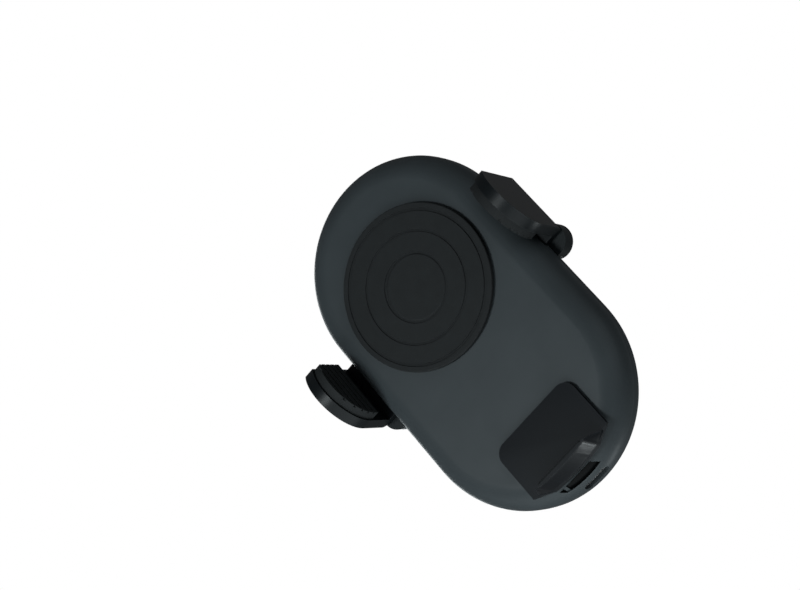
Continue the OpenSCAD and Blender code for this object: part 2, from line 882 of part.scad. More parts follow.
module foot_slide() {
    color("#3a3d3f") head_space() difference() {
        box([-foot_rail_w / 2, foot_leg_low, foot_rail_low],
            [foot_rail_w / 2, foot_leg_low + foot_rail_h, foot_rail_top]);
        for (x = [-foot_screw_x, foot_screw_x]) translate([x, foot_leg_low + foot_leg_h / 2, 0])
            disc(foot_screw_r, 0, front_round);
    }
}

module foot_screws() {
    color("#8d9196") head_space() for (x = [-foot_screw_x, foot_screw_x])
        translate([x, foot_leg_low + foot_leg_h / 2, 0]) {
            disc(foot_screw_r, foot_rail_low - foot_screw_head_t,
                foot_back + foot_base_t / 2 - foot_gap);
            disc(foot_screw_head_r, foot_rail_low - foot_screw_head_t, foot_rail_low);
        }
}

module collar_nut() {
    color("#202325") ball_space() difference() {
        rotate_extrude() polygon([[0, nut_front], [nut_r, nut_front], [nut_r, -nut_taper],
            [nut_back_r, -nut_back], [0, -nut_back]]);
        disc(nut_in, nut_step, nut_front + over);
        disc(seat_r, 0, nut_step + over);
        sphere(r = seat_r);
        disc(nut_mouth, -nut_back - over, 0);
        for (i = [1 : nut_grips]) rotate(i * 360 / nut_grips) translate([nut_r, 0, 0])
            disc(nut_grip_r, -nut_back - over, nut_front - nut_gap);
    }
}

module socket_liner() {
    color("#4b4f52") ball_space() difference() {
        sphere(r = liner_out);
        sphere(r = liner_in);
        for (s = [0, 1]) mirror([0, 0, s]) disc(liner_out + over, liner_half, liner_out + over);
        box([0, -liner_slit / 2, -liner_out - over], [liner_out + over, liner_slit / 2,
            liner_out + over]);
    }
}

module ball_stud() {
    color("#2a2d2f") ball_space() {
        sphere(r = ball_r);
        disc(stem_r, -stem_l - plug_l, 0);
    }
}

module along_x(y, z, r, half) {
    translate([-half, y, z]) rotate([0, 90, 0]) cylinder(r = r, h = 2 * half);
}

module clip_body() {
    ear = block_w / 2 - ear_t;
    color("#202325") difference() {
        union() {
            box([-block_w / 2, block_front, -block_h / 2], [block_w / 2, block_back, block_h / 2]);
            for (x = [-prong_x, prong_x]) box([x - prong_w / 2, block_back - over,
                -prong_z - prong_t], [x + prong_w / 2, prong_l / 2, -prong_z]);
        }
        ball_space() disc(stem_r + pin_gap, -stem_l - plug_l, -stem_l + over);
        box([-ear, pin_y - lever_r - lever_gap, pin_z - lever_r - lever_gap],
            [ear, block_back + over, block_h]);
        along_x(pin_y, pin_z, pin_r + pin_gap, block_w);
    }
}

module lower_prong_pads() {
    color("#141617") for (x = [-prong_x, prong_x])
        box([x - prong_w / 2, prong_l / 2 - prong_tip - pad_l, -prong_z],
            [x + prong_w / 2, prong_l / 2 - prong_tip, -prong_z + pad_t]);
}

module clip_lever() {
    ear = block_w / 2 - ear_t - ear_gap;
    color("#202325") difference() {
        union() {
            along_x(pin_y, pin_z, lever_r, ear);
            box([-ear, pin_y - thumb_t / 2, pin_z], [ear, pin_y + thumb_t / 2, pin_z + thumb_h]);
            box([-ear, pin_y, pin_z - lever_r], [ear, block_back + lever_gap + over,
                pin_z - lever_r + lever_web]);
            for (x = [-prong_x, prong_x]) {
                edge = sign(x) * min(abs(x) + prong_w / 2, ear);
                low_x = min(edge, x - sign(x) * prong_w / 2);
                high_x = max(edge, x - sign(x) * prong_w / 2);
                box([low_x, block_back + lever_gap, prong_z],
                    [high_x, prong_l / 2, prong_z + prong_t]);
                box([low_x, block_back + lever_gap, prong_z],
                    [high_x, block_back + lever_gap + lever_web, pin_z - lever_r + lever_web]);
            }
        }
        along_x(pin_y, pin_z, pin_r + run_gap, block_w);
        box([-clip_coil_room, pin_y - 2 * lever_r, pin_z - 2 * lever_r],
            [clip_coil_room, pin_y + lever_r + lever_gap, pin_z + lever_r + lever_gap]);
    }
}

module upper_prong_pads() {
    ear = block_w / 2 - ear_t - ear_gap;
    color("#141617") for (s = [0, 1]) mirror([s, 0, 0])
        box([prong_x - prong_w / 2, prong_l / 2 - prong_tip - pad_l, prong_z - pad_t],
            [min(prong_x + prong_w / 2, ear), prong_l / 2 - prong_tip, prong_z]);
}

module clip_pin() {
    color("silver") along_x(pin_y, pin_z, pin_r, block_w / 2);
}

module clip_spring() {
    color("#9aa0a6") difference() {
        along_x(pin_y, pin_z, clip_coil_r, clip_coil_l / 2);
        along_x(pin_y, pin_z, pin_r + 2 * run_gap, block_w);
    }
}

front_cover();
rear_cover();
charging_pad();
coil_carrier();
ferrite_sheet();
charging_coil();
circuit_board();
usb_socket();
light_window();
cover_screws();
axle_screw();
opening_spring();
pinion_gear();
right_arm();
right_jaw_pad();
left_arm();
left_jaw_pad();
right_button();
right_button_spring();
left_button();
left_button_spring();
latch_bar();
foot_bracket();
foot_pad();
foot_slide();
foot_screws();
collar_nut();
socket_liner();
ball_stud();
clip_body();
lower_prong_pads();
clip_lever();
upper_prong_pads();
clip_pin();
clip_spring();
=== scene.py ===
import math
import bpy
from mathutils import Matrix, Vector


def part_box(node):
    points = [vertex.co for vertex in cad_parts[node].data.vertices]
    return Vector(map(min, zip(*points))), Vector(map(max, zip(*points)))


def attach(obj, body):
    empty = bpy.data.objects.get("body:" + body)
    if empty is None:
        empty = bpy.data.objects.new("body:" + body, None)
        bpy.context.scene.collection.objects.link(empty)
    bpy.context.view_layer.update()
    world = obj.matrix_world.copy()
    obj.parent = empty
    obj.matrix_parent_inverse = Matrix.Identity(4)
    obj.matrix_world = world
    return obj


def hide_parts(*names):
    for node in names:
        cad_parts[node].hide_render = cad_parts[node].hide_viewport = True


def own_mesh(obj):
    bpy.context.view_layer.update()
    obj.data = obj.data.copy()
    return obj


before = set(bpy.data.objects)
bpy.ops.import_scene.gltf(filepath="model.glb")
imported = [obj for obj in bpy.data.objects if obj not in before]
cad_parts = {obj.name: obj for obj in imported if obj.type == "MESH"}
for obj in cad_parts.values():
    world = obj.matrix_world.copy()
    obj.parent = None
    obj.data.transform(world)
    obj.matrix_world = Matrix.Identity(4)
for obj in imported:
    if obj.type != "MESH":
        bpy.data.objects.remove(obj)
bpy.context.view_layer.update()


# Rear cover: the back half shell of the pill shaped head, injection moulded in charcoal ABS with
# a fine spark-eroded skin. It carries the arm rails and the spigot of the ball joint, and four
# screws pull it against the front cover.
MM = 0.001  # A size times MM is in metres, and any other size is in millimetres.


class Socket:
    """A shader socket on which Python's operators add Math nodes."""

    def __init__(self, tree, socket):
        self.tree = tree
        self.socket = socket

    def math(self, operation, *values):
        """Adds one Math node."""
        node = self.tree.nodes.new("ShaderNodeMath")
        node.operation = operation
        for entry, value in zip(node.inputs, values):
            plug(self.tree, entry, value)
        return Socket(self.tree, node.outputs[0])

    def __add__(self, other):
        return self.math("ADD", self, other)

    __radd__ = __add__

    def __sub__(self, other):
        return self.math("SUBTRACT", self, other)

    def __rsub__(self, other):
        return self.math("SUBTRACT", other, self)

    def __mul__(self, other):
        return self.math("MULTIPLY", self, other)

    __rmul__ = __mul__

    def __lt__(self, other):
        return self.math("LESS_THAN", self, other)


def plug(tree, entry, value):
    """Links a socket to an entry, or sets the entry to a plain value."""
    if isinstance(value, Socket):
        tree.links.new(value.socket, entry)
    else:
        entry.default_value = value


class Nodes:
    """A node tree, with the one method that adds a node to it."""

    def __init__(self, tree):
        self.tree = tree

    def add(self, kind, settings, inputs, output=0):
        """Adds a node with its settings, then its inputs, and gives one of its outputs."""
        node = self.tree.nodes.new(kind)
        for name, value in settings.items():
            setattr(node, name, value)
        for name, value in inputs.items():
            plug(self.tree, node.inputs[name], value)
        return Socket(self.tree, node.outputs[output])


class Finish(Nodes):
    """One material: constants on its shader, and the nodes that vary over the surface."""

    def __init__(self, name, **constants):
        self.material = bpy.data.materials.new(name)
        self.material.use_nodes = True
        super().__init__(self.material.node_tree)
        self.shader = self.tree.nodes["Principled BSDF"]
        for entry, value in constants.items():
            self.shader.inputs[entry.replace("_", " ")].default_value = value

    def place(self, stretch=(1, 1, 1)):
        """Object coordinates, drawn out along the axes that have a small stretch value."""
        spot = self.add("ShaderNodeTexCoord", {}, {}, "Object")
        return self.add("ShaderNodeMapping", {}, {"Vector": spot, "Scale": stretch})

    def axis(self, letter):
        """One Object coordinate in metres."""
        spot = self.add("ShaderNodeTexCoord", {}, {}, "Object")
        return self.add("ShaderNodeSeparateXYZ", {}, {0: spot}, letter)

    def noise(self, size, detail=2.0, stretch=(1, 1, 1)):
        """Cloudy values from 0 to 1 with lumps of that size in metres."""
        return self.add("ShaderNodeTexNoise", {},
                        {"Vector": self.place(stretch), "Scale": 1 / size, "Detail": detail})

    def ramp(self, mask, start, end):
        """The mask's values from start to end spread over 0 to 1, cut off outside them."""
        return self.add("ShaderNodeMapRange", {},
                        {"Value": mask, "From Min": start, "From Max": end})

    def edges(self, width):
        """1 along edges and corners, fading to 0 at that distance from them."""
        flat, turned = 0.99, 0.86
        rounded_off = self.add("ShaderNodeBevel", {"samples": 8}, {"Radius": width})
        straight = self.add("ShaderNodeNewGeometry", {}, {}, "Normal")
        along = self.add("ShaderNodeVectorMath", {"operation": "DOT_PRODUCT"},
                         {0: rounded_off, 1: straight}, "Value")
        return self.ramp(along, flat, turned)

    def between(self, mask, low, high):
        """The mask spread from low to high."""
        return mask * (high - low) + low

    def tint(self, mask, dark, light):
        """A colour between dark and light."""
        dark = dark if isinstance(dark, Socket) else (*dark, 1)
        light = light if isinstance(light, Socket) else (*light, 1)
        return self.add("ShaderNodeMix", {"data_type": "RGBA"}, {0: mask, 6: dark, 7: light}, 2)

    def bump(self, height, depth, under=None):
        """A relief of that depth in metres."""
        inputs = {"Height": height, "Distance": depth}
        if under:
            inputs["Normal"] = under
        return self.add("ShaderNodeBump", {}, inputs)

    def feed(self, **values):
        """Links or sets sockets of the shader."""
        for entry, value in values.items():
            plug(self.tree, self.shader.inputs[entry.replace("_", " ")], value)


WORN_LIFT = 0.004


def shade(colour, factor, lift=0):
    """A colour times a factor, and lifted a little where handling has worn it."""
    return [factor * c + lift for c in colour]


def moulded(name, colour, roughness, grain, relief, shine=0.10, polish=0.35):
    """Moulded plastic: uneven colour and sheen over a fine skin, rubbed smoother at its edges."""
    finish = Finish(name, Specular_IOR_Level=shine)
    clouds = finish.noise(size=13 * MM, detail=3.0)
    skin = finish.noise(size=grain, detail=3.0)
    handled = finish.ramp(finish.noise(size=3 * MM), start=0.3, end=0.6)
    rubbed = finish.edges(width=0.5 * MM) * handled
    plain = finish.tint(clouds, shade(colour, 0.86), shade(colour, 1.16))
    worn = shade(colour, 1 + polish, WORN_LIFT)
    spots = finish.noise(size=7 * MM, detail=4.0)
    matt = finish.between(spots, low=roughness - 0.05, high=roughness + 0.06)
    finish.feed(Base_Color=finish.tint(rubbed, plain, worn), Roughness=matt - rubbed * 0.1,
                Normal=finish.bump(skin, depth=relief))
    return finish.material


def dress(piece, body, slot, material, *nodes):
    """Gives a piece its material and its body, and hides the CAD nodes that it stands for."""
    piece.data.materials.clear()
    piece.data.materials.append(material)
    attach(piece, body)
    if nodes:
        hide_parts(*nodes)


def only(piece):
    """Selects one piece and nothing else."""
    bpy.ops.object.select_all(action="DESELECT")
    piece.select_set(True)
    bpy.context.view_layer.objects.active = piece


def edit(piece, action="SELECT"):
    """Opens a piece in edit mode, with all of it selected, or nothing."""
    only(piece)
    bpy.ops.object.mode_set(mode="EDIT")
    bpy.ops.mesh.select_all(action=action)


SHARP = math.radians(30)


def bevel(piece, edge, steps, near=None):
    """Rounds the sharp edges of a piece, or only those whose middle passes the test."""
    bpy.context.tool_settings.mesh_select_mode = (False, True, False)
    edit(piece, "DESELECT")
    bpy.ops.mesh.edges_select_sharp(sharpness=SHARP)
    bpy.ops.object.mode_set(mode="OBJECT")
    points = piece.data.vertices
    for line in piece.data.edges:
        start, end = (points[i].co for i in line.vertices)
        line.select = line.select and (near is None or near((start + end) / 2))
    bpy.ops.object.mode_set(mode="EDIT")
    bpy.ops.mesh.bevel(offset=edge, segments=steps, clamp_overlap=True)
    bpy.ops.object.mode_set(mode="OBJECT")


SLIVER = 0.0002 * MM


def smoothed(piece, angle=35, level=True):
    """Clears slivers and shades smooth, in which the large flat faces may be kept level."""
    edit(piece)
    bpy.ops.mesh.dissolve_degenerate(threshold=SLIVER)
    bpy.ops.object.mode_set(mode="OBJECT")
    bpy.ops.object.shade_smooth_by_angle(angle=math.radians(angle))
    if level:
        weight = piece.modifiers.new("level", "WEIGHTED_NORMAL")
        weight.keep_sharp = True
        bpy.ops.object.modifier_apply(modifier=weight.name)
    return piece


MERGE_GAP, FLAT_ANGLE = 0.002 * MM, math.radians(0.6)


def copied(name, node):
    """A copy of a CAD solid with its loose triangles merged into faces."""
    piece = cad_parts[node].copy()
    piece.data = piece.data.copy()
    piece.name = name
    bpy.context.scene.collection.objects.link(piece)
    piece.parent = None
    for key in list(piece.keys()):
        del piece[key]
    edit(piece)
    bpy.ops.mesh.remove_doubles(threshold=MERGE_GAP)
    bpy.ops.mesh.dissolve_limited(angle_limit=FLAT_ANGLE)
    bpy.ops.object.mode_set(mode="OBJECT")
    return piece


HEAD_R, HEAD_UP, HEAD_LOW, SEAM_Y = 34.5, 8.0, -42.3, -55.0
REAR_ROUNDING, REAR_DEPTH = 8.5, 10.5
SHELL_EDGE, AT_SKIN = 0.22 * MM, 0.12


def under_skin(point, rounding, depth):
    """How deep a point lies under the skin of a half shell, in millimetres."""
    height = point.z / MM
    across = math.hypot(point.x / MM, height - min(max(height, HEAD_LOW), HEAD_UP))
    out = abs(point.y / MM - SEAM_Y)
    if across > HEAD_R - rounding and out > depth - rounding:
        return rounding - math.hypot(across - HEAD_R + rounding, out - depth + rounding)
    return min(HEAD_R - across, depth - out)


CHARCOAL = (0.0300, 0.0355, 0.0385)
rear_plastic = moulded("rear plastic", shade(CHARCOAL, 0.9), roughness=0.5,
                       grain=0.4 * MM, relief=0.02 * MM)
rear_shell = copied("rear_shell", "rear_cover")
bevel(rear_shell, SHELL_EDGE, 2,
      lambda middle: under_skin(middle, REAR_ROUNDING, REAR_DEPTH) < AT_SKIN)
smoothed(rear_shell)
dress(rear_shell, "head", "rear_plastic", rear_plastic, "rear_cover")


# Release buttons: two round push keys moulded in the head's plastic, with a flange that keeps
# each in its well and a tie that works the latch bar. A wire spring behind each pushes it out.
key_plastic = moulded("key plastic", (0.0080, 0.0100, 0.0110), roughness=0.42,
                      grain=0.32 * MM, relief=0.012 * MM)
KEY_FACE_X, FLANGE_OUT_X, FLANGE_IN_X = 31.5 * MM, 31 * MM, 26 * MM
KEY_EDGE, FLANGE_EDGE = 0.45 * MM, 0.15 * MM
SPRING_R, SPRING_WIRE, SPRING_TURNS = 1.7 * MM, 0.6 * MM, 5.5
WIRE_SIDES, TURN_STEPS = 8, 20


def wound(name, node, radius, wire, turns):
    """A helical spring along X, as long as its CAD node: a round wire section drawn round its
    axis by a screw."""
    low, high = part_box(node)
    start = (low[0], (low[1] + high[1]) / 2, (low[2] + high[2]) / 2)
    bpy.ops.object.select_all(action="DESELECT")
    bpy.ops.mesh.primitive_circle_add(vertices=WIRE_SIDES, radius=wire / 2,
                                      fill_type="NOTHING", location=start)
    spring = bpy.context.object
    spring.name = name
    bpy.ops.object.mode_set(mode="EDIT")
    bpy.ops.transform.translate(value=(wire / 2, radius, 0))
    bpy.ops.object.mode_set(mode="OBJECT")
    screw = spring.modifiers.new("wind", "SCREW")
    screw.axis = "X"
    screw.angle = math.tau * turns
    screw.screw_offset = high[0] - low[0] - wire
    screw.steps = screw.render_steps = round(TURN_STEPS * turns)
    bpy.ops.object.modifier_apply(modifier=screw.name)
    bpy.ops.object.transform_apply(location=True, rotation=True, scale=True)
    edit(spring)
    bpy.ops.mesh.fill_holes(sides=WIRE_SIDES)
    bpy.ops.mesh.normals_make_consistent(inside=False)
    bpy.ops.object.mode_set(mode="OBJECT")
    bpy.ops.object.shade_smooth_by_angle(angle=math.radians(50))
    return spring


def metal(name, colour, roughness, streak, stretch=(1, 1, 1)):
    """Bare or plated metal: fine drawn or tumbled marks and brighter rubbed edges."""
    finish = Finish(name, Metallic=1.0)
    marks = finish.noise(size=streak, detail=4.0, stretch=stretch)
    plain = finish.tint(finish.noise(size=2 * MM), shade(colour, 0.8), colour)
    bright = [min(1, c) for c in shade(colour, 1.2)]
    finish.feed(Base_Color=finish.tint(finish.edges(width=0.2 * MM), plain, bright),
                Roughness=finish.between(marks, low=roughness - 0.07, high=roughness + 0.1),
                Normal=finish.bump(marks, depth=0.006 * MM))
    return finish.material


spring_steel = metal("drawn spring steel", (0.50, 0.51, 0.52), roughness=0.3,
                     streak=0.25 * MM, stretch=(0.15, 1, 1))
for side in ("right", "left"):
    button = copied(side + "_release_key", side + "_button")
    bevel(button, KEY_EDGE, 3, lambda middle: abs(middle.x) > KEY_FACE_X)
    bevel(button, FLANGE_EDGE, 1, lambda middle: FLANGE_IN_X < abs(middle.x) < FLANGE_OUT_X)
    smoothed(button)
    dress(button, side + "_release", "shell_plastic", key_plastic, side + "_button")
    low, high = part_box(side + "_button_spring")
    coil = wound(side + "_return_spring", side + "_button_spring",
                 SPRING_R, SPRING_WIRE, SPRING_TURNS)
    dress(coil, "head", "spring_steel", spring_steel, side + "_button_spring")
    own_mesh(coil)


# Latch bar, pinion and ratchet wheel: moulded in natural acetal, which runs without grease. The
# bar slides on posts of the rear cover and drops when a button is pushed.
def give(node, material):
    """A CAD node keeps its mesh and gets a material."""
    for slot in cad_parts[node].material_slots:
        slot.material = material


acetal = moulded("natural acetal", (0.62, 0.62, 0.57), roughness=0.36, grain=0.6 * MM,
                 relief=0.008 * MM, shine=0.5, polish=0.1)
give("latch_bar", acetal)
pinion = smoothed(copied("drive_pinion", "pinion_gear"))
dress(pinion, "pinion", "gear_plastic", acetal, "pinion_gear")


# Arms with jaws: each is one glass filled nylon moulding, a flat rack that bends forward into a
# jaw with a flat outer face, a round front edge and a cut-off top.
def satin_plastic(name, colour, sheen, matt_zone=None):
    """A denser, smoother moulding than the shell, with fine handling scratches. Where the zone's
    mask is 1 its skin is spark-eroded and matt."""
    finish = Finish(name, Specular_IOR_Level=0.12)
    clouds = finish.noise(size=11 * MM, detail=3.0)
    streaks = finish.noise(size=0.7 * MM, detail=1.0, stretch=(1, 0.09, 0.4))
    scratches = finish.ramp(streaks, start=0.66, end=0.74)
    handled = finish.ramp(finish.noise(size=4 * MM), start=0.25, end=0.6)
    rubbed = finish.edges(width=0.6 * MM) * handled
    plain = finish.tint(clouds, shade(colour, 0.85), shade(colour, 1.15))
    marked = finish.tint(scratches * 0.25, plain, shade(colour, 1.9))
    skin = finish.bump(finish.noise(size=0.3 * MM, detail=3.0), depth=0.009 * MM)
    gloss = finish.between(clouds, low=sheen, high=sheen + 0.025) - rubbed * 0.04
    if matt_zone:
        gloss = gloss + matt_zone(finish) * 0.3
    finish.feed(Base_Color=finish.tint(rubbed, marked, shade(colour, 1.5, WORN_LIFT)),
                Roughness=gloss,
                Normal=finish.bump(scratches, depth=-0.003 * MM, under=skin))
    return finish.material


JAW_IN, JAW_OUT = 37.8, 41.2
JAW_RIM_EDGE, JAW_BACK_EDGE = 0.7 * MM, 0.2 * MM
AT_FACE, AT_BACK = 0.05, 0.2
jaw_satin = satin_plastic("jaw satin", (0.0036, 0.0048, 0.0056), sheen=0.34)
for side in ("right", "left"):
    jaw = copied(side + "_jaw_arm", side + "_arm")
    bevel(jaw, JAW_RIM_EDGE, 4, lambda middle: abs(middle.x) > (JAW_OUT - AT_FACE) * MM)
    bevel(jaw, JAW_BACK_EDGE, 2,
          lambda middle: JAW_IN * MM > abs(middle.x) > (JAW_IN - AT_BACK) * MM)
    smoothed(jaw)
    dress(jaw, side + "_jaw", "jaw_plastic", jaw_satin, side + "_arm")


# Jaw pads: ribbed silicone rubber strips bonded to the inner faces of the jaws, matt and a
# little dusty in the grooves.
def silicone(name, colour, groove=None):
    """Matt rubber with a dull bloom and, where given, fine grooves along one axis."""
    finish = Finish(name, Specular_IOR_Level=0.10)
    bloom = finish.noise(size=4 * MM, detail=4.0)
    specks = finish.ramp(finish.noise(size=0.5 * MM), start=0.62, end=0.72)
    plain = finish.tint(bloom, shade(colour, 0.8), shade(colour, 1.25))
    skin = finish.bump(finish.noise(size=0.28 * MM, detail=3.0), depth=0.02 * MM)
    if groove:
        letter, pitch = groove
        wave = (finish.axis(letter) * (math.tau / pitch)).math("SINE")
        skin = finish.bump(wave, depth=0.05 * MM, under=skin)
    finish.feed(Base_Color=finish.tint(specks * 0.3, plain, shade(colour, 1.8)),
                Roughness=finish.between(bloom, low=0.66, high=0.8), Normal=skin)
    return finish.material


def rounded(name, node, edge, steps):
    """A smooth copy of a CAD solid with all its sharp edges rounded."""
    piece = copied(name, node)
    bevel(piece, edge, steps)
    return smoothed(piece)


PAD_EDGE = 0.2 * MM
rubber = silicone("black silicone", (0.0120, 0.0132, 0.0138))
for side in ("right", "left"):
    grip = rounded(side + "_jaw_grip", side + "_jaw_pad", PAD_EDGE, 2)
    dress(grip, side + "_jaw", "pad_rubber", rubber, side + "_jaw_pad")


# Opening spring and axle screw: a flat spiral of blued strip round the pinion's hub, and the
# small zinc plated screw that keeps the pinion on its stud.
zinc = metal("zinc plate", (0.50, 0.50, 0.52), roughness=0.34, streak=0.25 * MM)
give("opening_spring", spring_steel)
give("axle_screw", zinc)


# Carrier, ferrite and coil: a plain nylon plate holds the brittle ferrite disc, and the coil of
# enamelled copper wire is glued on it. Both are round about the head's middle.
def rings(finish, pitch):
    """A wave from -1 to 1 in rings of that pitch about the head's middle."""
    across = finish.axis("X")
    up = finish.axis("Z")
    return ((across * across + up * up).math("SQRT") * (math.tau / pitch)).math("SINE")


nylon = moulded("grey nylon", (0.052, 0.056, 0.059), roughness=0.52, grain=0.5 * MM,
                relief=0.02 * MM)
give("coil_carrier", nylon)
ferrite = moulded("sintered ferrite", (0.070, 0.066, 0.062), roughness=0.6, grain=0.3 * MM,
                  relief=0.02 * MM)
give("ferrite_sheet", ferrite)
STRAND_PITCH = 0.5 * MM
enamel = Finish("enamelled copper", Metallic=1.0)
strand = rings(enamel, STRAND_PITCH)
enamel.feed(Base_Color=enamel.tint(enamel.between(strand, low=0.5, high=1.0),
                                   (0.36, 0.13, 0.05), (0.72, 0.32, 0.15)),
            Roughness=enamel.between(enamel.noise(size=1.5 * MM), low=0.26, high=0.4),
            Normal=enamel.bump(strand, depth=0.08 * MM))
give("charging_coil", enamel.material)


# Circuit board: a green FR4 board with copper tracks under the solder mask, two black chips and
# a wound choke. It ends at the socket.
BOARD_FRONT_Y, TRACK_PITCH, TRACK_W = -58.1 * MM, 2.2 * MM, 0.06
board = Finish("solder mask", Specular_IOR_Level=0.5)
upright = board.add("ShaderNodeCombineXYZ", {}, {"X": board.axis("X"), "Y": board.axis("Z")})
tracks = board.add("ShaderNodeTexBrick", {"offset": 0.37},
                   {"Vector": upright, "Color1": (0, 0, 0, 1), "Color2": (0, 0, 0, 1),
                    "Mortar": (1, 1, 1, 1), "Scale": 1 / TRACK_PITCH, "Mortar Size": TRACK_W})
mask_green = board.tint(tracks, (0.010, 0.085, 0.042), (0.045, 0.19, 0.09))
on_top = board.axis("Y") < BOARD_FRONT_Y
epoxy = board.tint(board.noise(size=1.5 * MM), (0.010, 0.010, 0.011), (0.020, 0.020, 0.021))
flux = board.noise(size=2 * MM, detail=4.0)
board.feed(Base_Color=board.tint(on_top, mask_green, epoxy),
           Roughness=board.between(flux, low=0.28, high=0.42) + on_top * 0.15,
           Normal=board.bump(tracks, depth=0.02 * MM))
give("circuit_board", board.material)


# Socket: a drawn steel shell round a black tongue with gold plated contacts on both its faces,
# soldered to the end of the board. The shell's inside is painted near black as shade, and the
# tongue's black is painted darker still as shade.
TONGUE_Y, TONGUE_X, TONGUE_T = -56.2, 3.3, 0.35
PAST_X, PAST_T = 0.05, 0.06
CAVITY_X, CAVITY_T = 4.2, 1.3
CONTACTS, CONTACT_PITCH, CONTACT_X, CONTACT_Z = 12, 0.5, -2.75, -73.1
CONTACT_SIZE, CONTACT_EDGE = (0.25 * MM, 0.14 * MM, 3.4 * MM), 0.04 * MM
steel = Finish("socket steel", Specular_IOR_Level=0.1)


def about_tongue(half_width, half_thickness):
    """1 within those distances of the tongue's middle, in millimetres."""
    beside = steel.axis("X").math("ABSOLUTE") < half_width * MM
    return beside * ((steel.axis("Y") - TONGUE_Y * MM).math("ABSOLUTE") < half_thickness * MM)


tongue = about_tongue(TONGUE_X + PAST_X, TONGUE_T + PAST_T)
inside = about_tongue(CAVITY_X, CAVITY_T)
plated = steel.tint(steel.noise(size=0.8 * MM), (0.42, 0.42, 0.43), (0.56, 0.56, 0.57))
# Painted shade: near black on the shell's inside here and on the tongue below, for shade in the
# slit.
shell_colour_and_painted_shade = steel.tint(inside, plated, (0.010, 0.010, 0.011))
drawn = steel.noise(size=0.5 * MM, detail=4.0, stretch=(0.2, 1, 1))
steel.feed(Base_Color=steel.tint(tongue, shell_colour_and_painted_shade, (0.003, 0.003, 0.004)),
           Metallic=1 - tongue, Roughness=steel.between(drawn, low=0.24, high=0.4),
           Normal=steel.bump(steel.noise(size=0.3 * MM, detail=3.0), depth=0.005 * MM))
give("usb_socket", steel.material)
gold = metal("contact gold", (0.85, 0.62, 0.28), roughness=0.28, streak=0.2 * MM)


def rough_block(name, middle, size):
    """A block round its middle, as the start of a piece."""
    bpy.ops.object.select_all(action="DESELECT")
    bpy.ops.mesh.primitive_cube_add(size=1, location=middle)
    piece = bpy.context.object
    piece.name = name
    piece.scale = size
    bpy.ops.object.transform_apply(location=True, rotation=True, scale=True)
    return piece


contacts = rough_block("socket_contacts",
                       (CONTACT_X * MM, (TONGUE_Y + TONGUE_T) * MM, CONTACT_Z * MM), CONTACT_SIZE)
bevel(contacts, CONTACT_EDGE, 1)
twins = []
for index in range(1, 2 * CONTACTS):
    face, number = divmod(index, CONTACTS)
    twin = contacts.copy()
    twin.data = contacts.data.copy()
    bpy.context.scene.collection.objects.link(twin)
    for point in twin.data.vertices:
        point.co.x += number * CONTACT_PITCH * MM
        point.co.y -= face * 2 * TONGUE_T * MM
    twins.append(twin)
only(contacts)
for twin in twins:
    twin.select_set(True)
bpy.ops.object.join()
dress(contacts, "head", "socket_steel", gold)


# Front cover: the other half shell, in the same charcoal ABS with a slightly finer skin. The
# fine parting line round the head is where the two rims meet.
FRONT_ROUNDING, FRONT_DEPTH = 8.0, 8.0
shell_plastic = moulded("shell plastic", CHARCOAL, roughness=0.44, grain=0.32 * MM,
                        relief=0.012 * MM)
front_shell = copied("front_shell", "front_cover")
bevel(front_shell, SHELL_EDGE, 2,
      lambda middle: under_skin(middle, FRONT_ROUNDING, FRONT_DEPTH) < AT_SKIN)
smoothed(front_shell)
dress(front_shell, "head", "shell_plastic", shell_plastic, "front_cover")


# Light window: a smoked acrylic crescent sunk in the lower end, with a rib of the shell across
# it. The charging light shows through it. Its near black colour is partly the smoked acrylic and
# partly painted shade of the recess.
smoked_and_painted_shade = Finish("smoked acrylic", Specular_IOR_Level=0.04)
haze = smoked_and_painted_shade.noise(size=5 * MM, detail=3.0)
# Near black: partly the smoked acrylic's own tone and partly painted shade of the recess.
smoked_and_painted_shade.feed(Base_Color=smoked_and_painted_shade.tint(haze, (0.0016, 0.0018, 0.0020), (0.0030, 0.0033, 0.0036)),
            Roughness=smoked_and_painted_shade.between(haze, low=0.30, high=0.42),
            Normal=smoked_and_painted_shade.bump(smoked_and_painted_shade.noise(size=2 * MM), depth=0.004 * MM))
give("light_window", smoked_and_painted_shade.material)


# Charging pad: a round soft silicone disc set in the front face, with three fine moulded rings
# that keep what lies on it from sliding.
MAT_R, MAT_BACK_Y, MAT_FRONT_Y, MAT_EDGE = 25.0, -63.0, -64.6, 0.4 * MM
# Each ring has the flat band outside it, its groove's width and its groove's depth.
RINGS = ((1.6, 0.7, 0.35), (5.2, 0.6, 0.3), (5.6, 0.6, 0.3))
RING_WALL, MAT_SIDES, AT_RIM = 0.15, 128, 0.2


def pick(piece, test):
    """Goes to edit mode with those faces selected whose middle and normal pass the test."""
    bpy.context.tool_settings.mesh_select_mode = (False, False, True)
    for face in piece.data.polygons:
        face.select = test(face.center, face.normal)
    for line in piece.data.edges:
        line.select = False
    for point in piece.data.vertices:
        point.select = False
    bpy.ops.object.mode_set(mode="EDIT")


